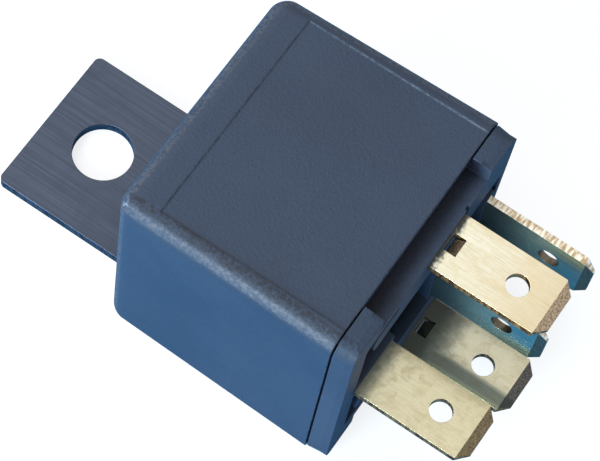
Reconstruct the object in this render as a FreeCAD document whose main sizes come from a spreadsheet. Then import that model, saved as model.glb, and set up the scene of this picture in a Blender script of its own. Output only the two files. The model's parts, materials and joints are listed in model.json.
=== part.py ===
# Automotive plug-in relay: moulded cover and base, five blade terminals, steel mounting bracket,
# and the clapper-type magnet system inside. Millimetres. The relay lies on its back face.
# +X is the way the blades point, +Z the outward normal of the cover's broad front face,
# and the origin is the middle of the cover's back face.

import FreeCAD, Part
import math
import os
import re
import Sketcher

# Driving dimensions, one cell each in the document's sheet
SIZES = {
    # cover
    "coverLength": 23.6,
    "coverWidth": 28.0,
    "coverHeight": 27.0,
    "coverWall": 1.2,
    "coverRadius": 2.0,
    "coverDraft": 0.5,
    "panelDepth": 0.12,
    "panelMargin": 1.6,
    "panelFromEnd": 4.0,
    "stakeRadius": 2.0,
    "stakeHeight": 7.6,
    "stakeHeadRadius": 3.2,
    "stakeHeadThickness": 0.9,
    "stakeHeadBevel": 0.45,
    # base
    "seamGap": 0.2,
    "flangeThickness": 2.05,
    "flangeInset": 0.12,
    "flangeBevelLength": 0.75,
    "flangeDraft": 0.12,
    "flangeBevel": 0.2,
    "rimRadius": 1.2,
    "plugDepth": 2.2,
    "plugClearance": 0.1,
    "recessHalfWidth": 8.9,
    "recessDepth": 2.3,
    "recessReach": 1.4,
    "webHeight": 5.2,
    "nearRim": 3.0,
    "farRim": 1.4,
    "hollowDepth": 1.8,
    "hollowCornerRadius": 0.7,
    "channelWidth": 1.6,
    "channelFromRecess": 1.4,
    "grooveWidth": 0.8,
    "grooveLength": 3.9,
    "fingerRadius": 1.2,
    "collarHeight": 1.9,
    "collarMargin": 0.4,
    "notchWidth": 0.5,
    "notchReach": 0.25,
    "slotClearance": 0.05,
    # blades
    "bladeWidth": 6.3,
    "bladeThickness": 0.8,
    "bladeReach": 12.05,
    "bladeHoleRadius": 1.15,
    "bladeHoleFromTip": 4.5,
    "bladeCornerLength": 1.1,
    "bladeCornerWidth": 1.15,
    "bladeBevelLength": 1.0,
    "bladeBevelDepth": 0.24,
    "feedInset": 5.9,
    "coilPitch": 10.2,
    "coilInset": 3.5,
    "openInset": 2.7,
    "closedOffset": 0.8,
    "windowLength": 1.3,
    "windowWidth": 2.0,
    "windowFromRim": 0.2,
    "lanceLength": 1.1,
    "lanceGap": 0.15,
    "lanceDrop": 0.75,
    "postWidth": 2.0,
    "postLength": 4.5,
    # bracket
    "bracketThickness": 1.2,
    "bracketWidth": 17.0,
    "bracketReach": 16.6,
    "bracketRise": 0.0,
    "bracketHoleRadius": 3.1,
    "bracketHoleReach": 9.95,
    "bracketBend": 0.8,
    "bracketCornerRadius": 0.7,
    "footHeight": 12.4,
    "stakeClearance": 0.1,
    # magnet system
    "yokeThickness": 1.5,
    "yokeWidth": 12.0,
    "frameClearance": 0.9,
    "yokeLip": 3.9,
    "yokeBend": 1.0,
    "yokeToBase": 1.6,
    "seatWidth": 1.0,
    "seatLength": 5.6,
    "seatSetback": 0.4,
    "seatSpread": 4.1,
    "endClearance": 0.45,
    "coilClearance": 0.6,
    "coreShare": 0.178,
    "coreShoulder": 0.7,
    "coreStakeRim": 0.5,
    "coreStakeHeight": 0.4,
    "poleRim": 1.3,
    "poleThickness": 1.0,
    "bobbinShare": 0.75,
    "bobbinRoom": 5.8,
    "bobbinHeadroom": 2.0,
    "bobbinFlangeThickness": 0.9,
    "bobbinWall": 0.7,
    "bobbinClearance": 0.1,
    "windingInset": 0.4,
    "windingClearance": 0.05,
    "leadRadius": 0.15,
    "leadGap": 0.15,
    "armatureThickness": 1.4,
    "armatureLip": 2.9,
    "armatureWidth": 11.0,
    "poleGap": 0.05,
    "openAngle": 2.5,
    "springThickness": 0.3,
    "springWidth": 5.4,
    "springTip": 1.4,
    "springLegLength": 9.0,
    "springBend": 0.4,
    "springBow": 0.05,
    "pinRadius": 0.8,
    "pinHeadRadius": 1.3,
    "pinHeadHeight": 0.35,
    "pinClearance": 0.05,
    "armaturePinFirst": 5.2,
    "armaturePinPitch": 6.6,
    "yokePinFirst": 2.6,
    "yokePinPitch": 3.4,
    "footPinAlong": 2.9,
    "terminalFoot": 5.4,
    # contacts
    "contactInset": 2.0,
    "contactRadius": 1.5,
    "contactShankRadius": 0.75,
    "contactDome": 0.15,
    "movingHeadOpen": 0.9,
    "movingHeadClosed": 0.5,
    "fixedHeadOpen": 0.6,
    "fixedHeadClosed": 0.5,
    "contactRestGap": 0.03,
    "ledgeWidth": 4.4,
    "riserGap": 0.5,
    "riserWidth": 3.0,
    "riserStandoff": 0.8,
}

# Places worked out from the sizes: front of the closed end, seams, plates and axes
PLACES = {
    "xClosed": "-coverLength / 2",
    "xOpen": "coverLength / 2",
    "xInner": "xClosed + coverWall",
    "xFlange": "xOpen + seamGap",
    "xBevel": "xRim - flangeBevelLength",
    "xRim": "xFlange + flangeThickness",
    "xPlug": "xOpen - plugDepth",
    "xFloor": "xRim - hollowDepth",
    "xTip": "xRim + bladeReach",
    "zMid": "coverHeight / 2",
    "yWall": "coverWidth / 2",
    "plugHalf": "yWall - coverWall - plugClearance",
    "plugLow": "coverWall + plugClearance",
    "plugHigh": "coverHeight - coverWall - plugClearance",
    "innerRadius": "coverRadius - coverWall",
    "recessFloor": "coverHeight - recessDepth",
    "webLow": "recessFloor - webHeight",
    "channelHigh": "recessFloor - channelFromRecess",
    "yNearRim": "nearRim - yWall",
    "yFinger": "yNearRim + channelWidth",
    "halfWidth": "bladeWidth / 2",
    "halfThick": "bladeThickness / 2",
    "coilRise": "zMid - coilInset",
    "zFront": "zMid + coilRise",
    "zBack": "zMid - coilRise",
    "feedAcross": "feedInset - yWall",
    "coilAcross": "feedAcross + coilPitch",
    "closedAcross": "coilAcross + closedOffset",
    "openAcross": "yWall - openInset",
    "bracketLow": "bracketRise",
    "bracketHigh": "bracketRise + bracketThickness",
    "xBracketEnd": "xClosed - bracketReach",
    "xYoke": "xPlug - yokeToBase",
    "xYokeInner": "xYoke - yokeThickness",
    "yokeAcross": "coverWall + coverDraft + frameClearance - yWall",
    "bobbinFlangeWidth": "min(coverWidth * bobbinShare - bobbinRoom; 2 * (coilRise - bobbinHeadroom))",
    "coreRadius": "bobbinFlangeWidth * coreShare",
    "coreTailRadius": "coreRadius - coreShoulder",
    "poleRadius": "coreRadius + poleRim",
    "windingRadius": "bobbinFlangeWidth / 2 - windingInset",
    "leadAcross": "coilAxisAcross + windingRadius / 2",
    "coilAxisAcross": "yYokeInner + coilClearance + bobbinFlangeWidth / 2",
    "yokeReach": "coilAxisAcross + yokeLip",
    "armatureLength": "coilAxisAcross + poleRadius + armatureLip - yokeAcross",
    "yContact": "yRiserInner - contactInset",
    "contactArm": "yContact - yokeAcross",
    "springLength": "contactArm + springTip",
    "restReach": "(movingHeadClosed - leafFront) * cos(openAngle) + contactArm * sin(openAngle)",
    "xClosedLedge": "xInner + endClearance + bladeThickness",
    "xClosedFace": "xClosedLedge + fixedHeadClosed",
    "xPole": "xClosedFace + contactRestGap + restReach",
    "xBobbin": "xPole + poleThickness",
    "yYokeInner": "yokeAcross + yokeThickness",
    "footOuter": "xYoke + bladeThickness",
    "boreRadius": "coreRadius + bobbinClearance",
    "tubeRadius": "boreRadius + bobbinWall",
    "leafBack": "-poleGap - armatureThickness",
    "leafFront": "leafBack - springThickness",
    "closedFace": "leafBack + movingHeadOpen",
    "xOpenFace": "xPole + closedFace + contactRestGap",
    "xOpenLedge": "xOpenFace + fixedHeadOpen",
    "yLedge": "yContact - contactRadius",
    "yRiser": "openAcross + halfThick",
    "yRiserInner": "openAcross - halfThick",
    "zRiser": "zMid + halfWidth + riserGap",
    "zRiserTop": "zRiser + riserWidth",
    "xRun": "xPlug - bladeThickness",
}


def formula(text):
    """Expression with each size as its cell and each place written out."""
    def word(match):
        name = match.group()
        if name in SIZES:
            return "Sizes." + name
        if name in PLACES:
            return "(" + formula(PLACES[name]) + ")"
        return name
    return re.sub(r"[A-Za-z]\w*", word, str(text))


doc = FreeCAD.newDocument("Relay")
sheet = doc.addObject("Spreadsheet::Sheet", "Sizes")
for row, (alias, number) in enumerate(SIZES.items(), start=1):
    sheet.set("A%d" % row, alias)
    sheet.set("B%d" % row, str(number))
    sheet.setAlias("B%d" % row, alias)
doc.recompute()

parts = []
NORMAL_SIGN = {"XY_Plane": 1, "XZ_Plane": -1, "YZ_Plane": 1}
# Slack when an edge is found by its place, and the share of its length that makes its direction
SLACK = 0.02
MAIN_SHARE = 0.9


def amount(text):
    """Present value of an expression, as a plain number."""
    number = sheet.evalExpression(formula(text))
    return float(getattr(number, "Value", number))


def new_body(label):
    body = doc.addObject("PartDesign::Body", label)
    body.Label = label
    parts.append(body)
    return body


def new_sketch(body, plane, along):
    """Empty sketch parallel to one of the body's origin planes, at a place along its axis."""
    sketch = body.newObject("Sketcher::SketchObject", body.Label + "_sketch")
    support = next(f for f in body.Origin.OriginFeatures if f.Role == plane)
    sketch.AttachmentSupport = (support, [""])
    sketch.MapMode = "FlatFace"
    sign = "" if NORMAL_SIGN[plane] > 0 else "-"
    sketch.setExpression("AttachmentOffset.Base.z", "%s(%s)" % (sign, formula(along)))
    return sketch


def place_point(sketch, element, vertex, point):
    """Tie one vertex of a sketch to two expressions counted from the sketch's origin."""
    for kind, text in zip(("DistanceX", "DistanceY"), point):
        tie = Sketcher.Constraint(kind, -1, 1, element, vertex, amount(text))
        sketch.setExpression("Constraints[%d]" % sketch.addConstraint(tie), formula(text))


def polygon(body, plane, along, points):
    """Closed outline through points given as pairs of expressions."""
    sketch = new_sketch(body, plane, along)
    corners = [FreeCAD.Vector(amount(u), amount(v), 0) for u, v in points]
    count = len(corners)
    for i in range(count):
        sketch.addGeometry(Part.LineSegment(corners[i], corners[(i + 1) % count]))
    for i in range(count):
        sketch.addConstraint(Sketcher.Constraint("Coincident", i, 2, (i + 1) % count, 1))
        place_point(sketch, i, 1, points[i])
    return sketch


def rectangle(body, plane, along, low, high):
    corners = [(low[0], low[1]), (high[0], low[1]), (high[0], high[1]), (low[0], high[1])]
    return polygon(body, plane, along, corners)


def circle(body, plane, along, centre, radius):
    sketch = new_sketch(body, plane, along)
    at = FreeCAD.Vector(amount(centre[0]), amount(centre[1]), 0)
    sketch.addGeometry(Part.Circle(at, FreeCAD.Vector(0, 0, 1), amount(radius)))
    place_point(sketch, 0, 3, centre)
    size = Sketcher.Constraint("Radius", 0, amount(radius))
    sketch.setExpression("Constraints[%d]" % sketch.addConstraint(size), formula(radius))
    return sketch


def middle(span):
    return "((%s) + (%s)) / 2" % span


def extrude(body, sketch, span, cut=False):
    """Pad or pocket that fills or cuts the whole span, counted along the sketch's axis."""
    kind = "PartDesign::Pocket" if cut else "PartDesign::Pad"
    feature = body.newObject(kind, body.Label + ("_cut" if cut else "_pad"))
    feature.Profile = sketch
    feature.Midplane = True
    feature.setExpression("Length", formula("(%s) - (%s)" % (span[1], span[0])))
    doc.recompute()
    return feature


def block(body, plane, span, low, high, cut=False):
    return extrude(body, rectangle(body, plane, middle(span), low, high), span, cut)


def plate(body, plane, span, points, cut=False):
    return extrude(body, polygon(body, plane, middle(span), points), span, cut)


def disc(body, plane, span, centre, radius, cut=False):
    return extrude(body, circle(body, plane, middle(span), centre, radius), span, cut)


def loft(body, sketches, cut=False):
    kind = "PartDesign::SubtractiveLoft" if cut else "PartDesign::AdditiveLoft"
    feature = body.newObject(kind, body.Label + "_loft")
    feature.Profile = sketches[0]
    feature.Sections = sketches[1:]
    feature.Ruled = True
    doc.recompute()
    return feature


def round_edges(body, radius, wanted, kind="PartDesign::Fillet", size="Radius"):
    """Fillet or chamfer on the edges of the tip for which wanted(edge) is true."""
    base = body.Tip
    names = ["Edge%d" % (i + 1) for i, edge in enumerate(base.Shape.Edges) if wanted(edge)]
    feature = body.newObject(kind, body.Label + "_edges")
    feature.Base = (base, names)
    feature.setExpression(size, formula(radius))
    doc.recompute()


def runs_along(edge, axis):
    """True for a straight edge that runs mainly along the axis."""
    if edge.Curve.TypeId != "Part::GeomLine":
        return False
    span = edge.BoundBox
    lengths = {"X": span.XLength, "Y": span.YLength, "Z": span.ZLength}
    return lengths[axis] > MAIN_SHARE * edge.Length


def near(number, text):
    return abs(number - amount(text)) < SLACK


def rounded_frame(body, along, shrink, low=None, bend="coverRadius"):
    """Section of the housing: upright rectangle with arcs at its corners. The sides and top are
    moved in by shrink, and the bottom stands at low, or is moved in as well."""
    side = "(yWall - (%s))" % shrink
    low = "(%s)" % (shrink if low is None else low)
    high = "(coverHeight - (%s))" % shrink
    ends = [
        (("-%s + %s" % (side, bend), low), ("%s - %s" % (side, bend), low)),
        ((side, "%s + %s" % (low, bend)), (side, "%s - %s" % (high, bend))),
        (("%s - %s" % (side, bend), high), ("-%s + %s" % (side, bend), high)),
        (("-" + side, "%s - %s" % (high, bend)), ("-" + side, "%s + %s" % (low, bend))),
    ]
    sketch = new_sketch(body, "YZ_Plane", along)
    points = [[FreeCAD.Vector(amount(u), amount(v), 0) for u, v in pair] for pair in ends]
    for start, end in points:
        sketch.addGeometry(Part.LineSegment(start, end))
    size = amount(bend)
    for i in range(4):
        leave = points[i][1]
        arrive = points[(i + 1) % 4][0]
        centre = FreeCAD.Vector(leave.x, arrive.y, 0) if i % 2 == 0 else FreeCAD.Vector(arrive.x, leave.y, 0)
        whole = Part.Circle(centre, FreeCAD.Vector(0, 0, 1), size)
        first = (i - 1) * math.pi / 2
        sketch.addGeometry(Part.ArcOfCircle(whole, first, first + math.pi / 2))
    for i in range(4):
        place_point(sketch, i, 1, ends[i][0])
        place_point(sketch, i, 2, ends[i][1])
        sketch.addConstraint(Sketcher.Constraint("Coincident", 4 + i, 1, i, 2))
        sketch.addConstraint(Sketcher.Constraint("Coincident", 4 + i, 2, (i + 1) % 4, 1))
        tie = Sketcher.Constraint("Radius", 4 + i, size)
        sketch.setExpression("Constraints[%d]" % sketch.addConstraint(tie), formula(bend))
    return sketch


def make_cover():
    """Moulded cap: drafted shell, shallow panel in its front face, stake for the bracket."""
    body = new_body("cover")
    half_end = "yWall - coverDraft"
    plate(body, "XY_Plane", ("0", "coverHeight"), [
        ("xOpen", "-yWall"),
        ("xOpen", "yWall"),
        ("xClosed", half_end),
        ("xClosed", "-(%s)" % half_end),
    ])
    plate(body, "XZ_Plane", ("-yWall", "yWall"), [
        ("xClosed", "coverHeight - coverDraft"),
        ("xOpen", "coverHeight"),
        ("xClosed", "coverHeight"),
    ], cut=True)
    round_edges(body, "coverRadius", lambda e: not near(e.BoundBox.XMin, "xOpen"))
    loft(body, [
        rounded_frame(body, "xOpen", "coverWall", "coverWall", "innerRadius"),
        rounded_frame(body, "xInner", "coverDraft + coverWall", "coverWall", "innerRadius"),
    ], cut=True)
    fall = "coverDraft / coverLength"
    panel_half = "yWall - coverDraft - panelMargin"
    x_panel = "xClosed + panelFromEnd"
    z_start = "coverHeight - panelDepth - (coverLength - panelFromEnd) * %s" % fall
    above = "coverHeight + coverWall"
    plate(body, "XZ_Plane", ("-(%s)" % panel_half, panel_half), [
        (x_panel, z_start),
        ("xOpen", "coverHeight - panelDepth"),
        ("xOpen", above),
        (x_panel, above),
    ], cut=True)
    x_head = "xClosed - bracketThickness"
    disc(body, "YZ_Plane", (x_head, "xInner"), ("0", "stakeHeight"), "stakeRadius")
    disc(body, "YZ_Plane", ("%s - stakeHeadThickness" % x_head, x_head), ("0", "stakeHeight"),
         "stakeHeadRadius")
    x_face = x_head + " - stakeHeadThickness"
    round_edges(body, "stakeHeadBevel", lambda e: near(e.BoundBox.XMax, x_face),
                "PartDesign::Chamfer", "Size")


def surround(centre, half_y, half_z, margin):
    """Opposite corners of a rectangle that lies outside a blade's section by a margin."""
    low = ("%s - %s - %s" % (centre[0], half_y, margin), "%s - %s - %s" % (centre[1], half_z, margin))
    high = ("%s + %s + %s" % (centre[0], half_y, margin), "%s + %s + %s" % (centre[1], half_z, margin))
    return low, high


def slot(body, span, centre, half_y, half_z):
    """Opening in the base for one blade, with the same clearance on every side."""
    low, high = surround(centre, half_y, half_z, "slotClearance")
    block(body, "YZ_Plane", span, low, high, cut=True)


def collar(body, centre, half_y, half_z):
    """Raised platform round one blade's slot, from the floor of the hollow."""
    low, high = surround(centre, half_y, half_z, "collarMargin")
    block(body, "YZ_Plane", ("xFlange", "xFloor + collarHeight"), low, high)


# Middle of each blade across and up, and the halves of its section there
BLADES = {
    "terminal_30": ("feedAcross", "zMid", "halfWidth", "halfThick"),
    "terminal_86": ("coilAcross", "zFront", "halfWidth", "halfThick"),
    "terminal_85": ("coilAcross", "zBack", "halfWidth", "halfThick"),
    "terminal_87": ("openAcross", "zMid", "halfThick", "halfWidth"),
    "terminal_87a": ("closedAcross", "zMid", "halfThick", "halfWidth"),
}


def make_base():
    """Moulded base: plug inside the cover, bevelled flange, recess in its front and back sides,
    a hollow in the terminal face with a collar round each blade, and a seat for the yoke."""
    body = new_body("base")
    loft(body, [
        rounded_frame(body, "xFlange", "flangeInset"),
        rounded_frame(body, "xBevel", "flangeInset + flangeDraft"),
        rounded_frame(body, "xRim", "flangeInset + flangeDraft + flangeBevel", bend="rimRadius"),
    ])
    block(body, "YZ_Plane", ("xPlug", "xFlange"), ("-plugHalf", "plugLow"), ("plugHalf", "plugHigh"))
    round_edges(body, "innerRadius", lambda e: runs_along(e, "X") and near(e.BoundBox.XMin, "xPlug"))
    hollow = ("xFloor", "xRim")
    block(body, "YZ_Plane", hollow, ("yNearRim", "coverHeight - channelHigh"),
          ("yFinger", "channelHigh"), cut=True)
    round_edges(body, "hollowCornerRadius", lambda e: runs_along(e, "X")
                and near(e.BoundBox.XMin, "xFloor") and near(e.BoundBox.YMin, "yNearRim"))
    y_inside = "yFinger - channelWidth / 2"
    block(body, "YZ_Plane", hollow, (y_inside, "coverHeight - webLow"), ("yWall - farRim", "webLow"),
          cut=True)
    for low, high in (("channelHigh - grooveWidth", "channelHigh"),
                      ("coverHeight - channelHigh", "coverHeight - channelHigh + grooveWidth")):
        block(body, "YZ_Plane", hollow, (y_inside, low), ("yFinger + grooveLength", high), cut=True)
    finger_sides = ("channelHigh - grooveWidth", "webLow", "coverHeight - webLow",
                    "coverHeight - channelHigh + grooveWidth")
    round_edges(body, "fingerRadius", lambda e: runs_along(e, "X") and near(e.BoundBox.YMin, "yFinger")
                and any(near(e.BoundBox.ZMin, z) for z in finger_sides))
    x_recess = ("xFlange - recessReach", "xRim")
    for low, high in (("recessFloor", "coverHeight"), ("0", "recessDepth")):
        block(body, "YZ_Plane", x_recess, ("-recessHalfWidth", low), ("recessHalfWidth", high), cut=True)
    for name in ("terminal_30", "terminal_87", "terminal_87a"):
        across, up, half_y, half_z = BLADES[name]
        collar(body, (across, up), half_y, half_z)
    for side in ("-", "+"):
        z_seat = "zMid %s seatSpread" % side
        block(body, "YZ_Plane", ("xYoke", "xPlug + seatWidth"),
              ("yokeReach - seatSetback - seatLength", "%s - seatWidth / 2" % z_seat),
              ("yokeReach - seatSetback", "%s + seatWidth / 2" % z_seat))
    y_notch = "coilAcross + halfWidth"
    block(body, "YZ_Plane", ("xRim - notchReach", "xRim"), (y_notch, "zFront - halfThick"),
          (y_notch + " + notchWidth", "recessFloor"), cut=True)
    for across, up, half_y, half_z in BLADES.values():
        slot(body, ("xPlug", "xFloor + collarHeight"), (across, up), half_y, half_z)


def shape_tip(body, plane, across, up, half_y, half_z):
    """Cross hole near the tip and a bevel on both faces, for a blade that lies in the plane."""
    flat = plane == "XY_Plane"
    centre = across if flat else up
    face = up if flat else across
    other = "XZ_Plane" if flat else "XY_Plane"
    thick = half_z if flat else half_y
    wide = half_y if flat else half_z
    disc(body, plane, ("%s - %s" % (face, thick), "%s + %s" % (face, thick)),
         ("xTip - bladeHoleFromTip", centre), "bladeHoleRadius", cut=True)
    for sign in ("-", "+"):
        outer = "%s %s %s" % (face, sign, thick)
        plate(body, other, ("%s - %s" % (centre, wide), "%s + %s" % (centre, wide)), [
            ("xTip - bladeBevelLength", outer),
            ("xTip", "%s %s (%s - bladeBevelDepth)" % (face, sign, thick)),
            ("xTip", outer),
        ], cut=True)


def blade_outline(x_root, centre, wide):
    """Straight sides from the root, with cut corners at the tip."""
    low = "%s - %s" % (centre, wide)
    high = "%s + %s" % (centre, wide)
    return [
        (x_root, low),
        ("xTip - bladeCornerLength", low),
        ("xTip", "%s + bladeCornerWidth" % low),
        ("xTip", "%s - bladeCornerWidth" % high),
        ("xTip - bladeCornerLength", high),
        (x_root, high),
    ]


def make_blade(name, x_root):
    """Body with its blade in place, from x_root to the tip."""
    across, up, half_y, half_z = BLADES[name]
    body = new_body(name)
    if half_y == "halfWidth":
        span = ("%s - %s" % (up, half_z), "%s + %s" % (up, half_z))
        plate(body, "XY_Plane", span, blade_outline(x_root, across, half_y))
        shape_tip(body, "XY_Plane", across, up, half_y, half_z)
    else:
        span = ("%s - %s" % (across, half_y), "%s + %s" % (across, half_y))
        plate(body, "XZ_Plane", span, blade_outline(x_root, up, half_z))
        shape_tip(body, "XZ_Plane", across, up, half_y, half_z)
    return body


def make_feed_terminal():
    """Blade 30, folded into a foot that is riveted to the yoke."""
    body = make_blade("terminal_30", "xYoke")
    low = ("feedAcross - halfWidth", "zMid - halfThick")
    high = ("feedAcross + halfWidth", "zMid + terminalFoot")
    block(body, "YZ_Plane", ("xYoke", "footOuter"), low, high)
    disc(body, "YZ_Plane", ("xYoke", "footOuter"), ("feedAcross", "zMid + footPinAlong"),
         "pinRadius + pinClearance", cut=True)


def make_coil_terminal(name):
    """Coil blade with a lance bent down in a window at its root, and a narrow post inside for
    the winding's end."""
    across, up, half_y, half_z = BLADES[name]
    body = make_blade(name, "xPlug")
    low = "%s - %s" % (up, half_z)
    high = "%s + %s" % (up, half_z)
    block(body, "XY_Plane", (low, high), ("xPlug - postLength", "leadAcross - postWidth / 2"),
          ("xPlug", "leadAcross + postWidth / 2"))
    x_near = "xRim + windowFromRim"
    x_far = "%s + windowLength" % x_near
    half = "windowWidth / 2"
    block(body, "XY_Plane", (low, high), (x_near, "%s - %s" % (across, half)),
          (x_far, "%s + %s" % (across, half)), cut=True)
    half = "(windowWidth / 2 - lanceGap)"
    x_end = "%s - lanceLength" % x_far
    plate(body, "XZ_Plane", ("%s - %s" % (across, half), "%s + %s" % (across, half)), [
        (x_end, "%s - lanceDrop" % low),
        (x_far, low),
        (x_far, high),
        (x_end, "%s - lanceDrop" % high),
    ])


def make_open_terminal():
    """Blade 87, running up inside to the ledge of the normally open contact."""
    body = make_blade("terminal_87", "xOpenLedge")
    block(body, "XY_Plane", ("zMid - halfWidth", "zMid + halfWidth"), ("xOpenLedge", "yLedge"),
          ("xOpenLedge + bladeThickness", "yRiser"))
    disc(body, "YZ_Plane", ("xOpenLedge", "xOpenLedge + bladeThickness"), ("yContact", "zMid"),
         "contactShankRadius", cut=True)


def make_closed_terminal():
    """Blade 87a, led under the frame and up beside blade 87 to the normally closed ledge."""
    body = make_blade("terminal_87a", "xRun")
    y_start = "closedAcross - halfThick"
    y_turn = "yRiserInner - riserStandoff"
    plate(body, "YZ_Plane", ("xRun", "xPlug"), [
        (y_start, "zMid - halfWidth"),
        (y_turn, "zMid - halfWidth"),
        (y_turn, "zRiser"),
        ("yRiser", "zRiser"),
        ("yRiser", "zRiserTop"),
        (y_start, "zRiserTop"),
    ])
    x_ledge = "xClosedLedge - bladeThickness"
    block(body, "XZ_Plane", ("yRiserInner", "yRiser"), (x_ledge, "zRiser"), ("xPlug", "zRiserTop"))
    plate(body, "YZ_Plane", (x_ledge, "xClosedLedge"), [
        ("yLedge", "zMid - ledgeWidth / 2"),
        ("yContact + contactRadius", "zMid - ledgeWidth / 2"),
        ("yRiser", "zRiser"),
        ("yRiser", "zRiserTop"),
        ("yContact", "zRiserTop"),
        ("yLedge", "zMid + ledgeWidth / 2"),
    ])
    disc(body, "YZ_Plane", (x_ledge, "xClosedLedge"), ("yContact", "zMid"), "contactShankRadius",
         cut=True)


def make_bracket():
    """Folded steel strap: foot staked to the cover's closed end, tab with the fixing hole."""
    body = new_body("bracket")
    half = "bracketWidth / 2"
    foot_top = "bracketLow + footHeight"
    plate(body, "XZ_Plane", ("-" + half, half), [
        ("xBracketEnd", "bracketLow"),
        ("xClosed", "bracketLow"),
        ("xClosed", foot_top),
        ("xClosed - bracketThickness", foot_top),
        ("xClosed - bracketThickness", "bracketHigh"),
        ("xBracketEnd", "bracketHigh"),
    ])

    def fold(edge, x_text, z_text):
        return runs_along(edge, "Y") and near(edge.BoundBox.XMin, x_text) and near(edge.BoundBox.ZMin, z_text)

    round_edges(body, "bracketBend", lambda e: fold(e, "xClosed - bracketThickness", "bracketHigh"))
    round_edges(body, "bracketBend + bracketThickness", lambda e: fold(e, "xClosed", "bracketLow"))
    round_edges(body, "bracketCornerRadius",
                lambda e: runs_along(e, "Z") and near(e.BoundBox.XMin, "xBracketEnd"))
    round_edges(body, "bracketCornerRadius",
                lambda e: runs_along(e, "X") and near(e.BoundBox.ZMin, foot_top))
    disc(body, "XY_Plane", ("bracketLow", "bracketHigh"), ("xClosed - bracketHoleReach", "0"),
         "bracketHoleRadius", cut=True)
    disc(body, "YZ_Plane", ("xClosed - bracketThickness", "xClosed"), ("0", "stakeHeight"),
         "stakeRadius + stakeClearance", cut=True)


def make_yoke():
    """L-shaped iron frame: long leg beside the coil, short leg under it."""
    body = new_body("yoke")
    half = "yokeWidth / 2"
    plate(body, "XY_Plane", ("zMid - " + half, "zMid + " + half), [
        ("xPole", "yokeAcross"),
        ("xYoke", "yokeAcross"),
        ("xYoke", "yokeReach"),
        ("xYokeInner", "yokeReach"),
        ("xYokeInner", "yYokeInner"),
        ("xPole", "yYokeInner"),
    ])
    round_edges(body, "yokeBend", lambda e: runs_along(e, "Z") and near(e.BoundBox.XMin, "xYoke")
                and near(e.BoundBox.YMin, "yokeAcross"))
    disc(body, "YZ_Plane", ("xYokeInner", "xYoke"), ("coilAxisAcross", "zMid"), "coreTailRadius", cut=True)
    disc(body, "YZ_Plane", ("xYokeInner", "xYoke"), ("feedAcross", "zMid + footPinAlong"), "pinRadius",
         cut=True)
    for along in ("yokePinFirst", "yokePinFirst + yokePinPitch"):
        disc(body, "XZ_Plane", ("yokeAcross", "yYokeInner"), ("xPole + " + along, "zMid"), "pinRadius",
             cut=True)


def turned(label, outline, across):
    """Solid of revolution about a line along X at the given place across, at mid height."""
    body = new_body(label)
    sketch = polygon(body, "XY_Plane", "zMid", [(x, "%s + %s" % (across, r)) for x, r in outline])
    axis = Part.LineSegment(FreeCAD.Vector(amount(outline[0][0]), amount(across), 0),
                            FreeCAD.Vector(amount(outline[-1][0]), amount(across), 0))
    line = sketch.addGeometry(axis, True)
    place_point(sketch, line, 1, (outline[0][0], across))
    place_point(sketch, line, 2, (outline[-1][0], across))
    feature = body.newObject("PartDesign::Revolution", label + "_turned")
    feature.Profile = sketch
    feature.ReferenceAxis = (sketch, ["Axis0"])
    feature.Angle = 360
    doc.recompute()
    return body


def make_core():
    turned("core", [
        ("xPole", "0"),
        ("xPole", "poleRadius"),
        ("xBobbin", "poleRadius"),
        ("xBobbin", "coreRadius"),
        ("xYokeInner", "coreRadius"),
        ("xYokeInner", "coreTailRadius"),
        ("xYoke", "coreTailRadius"),
        ("xYoke", "coreTailRadius + coreStakeRim"),
        ("xYoke + coreStakeHeight", "coreTailRadius + coreStakeRim - coreStakeHeight"),
        ("xYoke + coreStakeHeight", "0"),
    ], "coilAxisAcross")


def make_bobbin():
    """Coil former: tube with a square flange at each end."""
    body = new_body("bobbin")
    disc(body, "YZ_Plane", ("xBobbin", "xYokeInner"), ("coilAxisAcross", "zMid"), "tubeRadius")
    half = "bobbinFlangeWidth / 2"
    low = ("coilAxisAcross - " + half, "zMid - " + half)
    high = ("coilAxisAcross + " + half, "zMid + " + half)
    block(body, "YZ_Plane", ("xBobbin", "xBobbin + bobbinFlangeThickness"), low, high)
    block(body, "YZ_Plane", ("xYokeInner - bobbinFlangeThickness", "xYokeInner"), low, high)
    disc(body, "YZ_Plane", ("xBobbin", "xYokeInner"), ("coilAxisAcross", "zMid"), "boreRadius", cut=True)


def make_winding():
    body = new_body("coil_winding")
    span = ("xBobbin + bobbinFlangeThickness", "xYokeInner - bobbinFlangeThickness")
    disc(body, "YZ_Plane", span, ("coilAxisAcross", "zMid"), "windingRadius")
    disc(body, "YZ_Plane", span, ("coilAxisAcross", "zMid"), "tubeRadius + windingClearance", cut=True)


def make_lead(label, sign):
    """Wire from the winding's side, straight out past the flange to its terminal's post."""
    body = new_body(label)
    x_out = "xYokeInner - bobbinFlangeThickness - leadRadius - leadGap"
    z_start = "zMid %s (windingRadius * cos(asin(1 / 2)) + leadRadius)" % sign
    z_post = "zMid %s (coilRise - halfThick)" % sign
    rise = (z_start, z_post) if sign == "+" else (z_post, z_start)
    disc(body, "XY_Plane", rise, (x_out, "leadAcross"), "leadRadius")


def hinge(body):
    """Set a body that is drawn closed, about the hinge line, at the open angle."""
    body.Placement = FreeCAD.Placement(FreeCAD.Vector(), FreeCAD.Rotation(FreeCAD.Vector(0, 0, 1), 1))
    body.setExpression("Placement.Base.x", formula("xPole"))
    body.setExpression("Placement.Base.y", formula("yokeAcross"))
    body.setExpression("Placement.Rotation.Angle", formula("openAngle"))
    doc.recompute()


ARMATURE_PINS = ("armaturePinFirst", "armaturePinFirst + armaturePinPitch")


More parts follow.
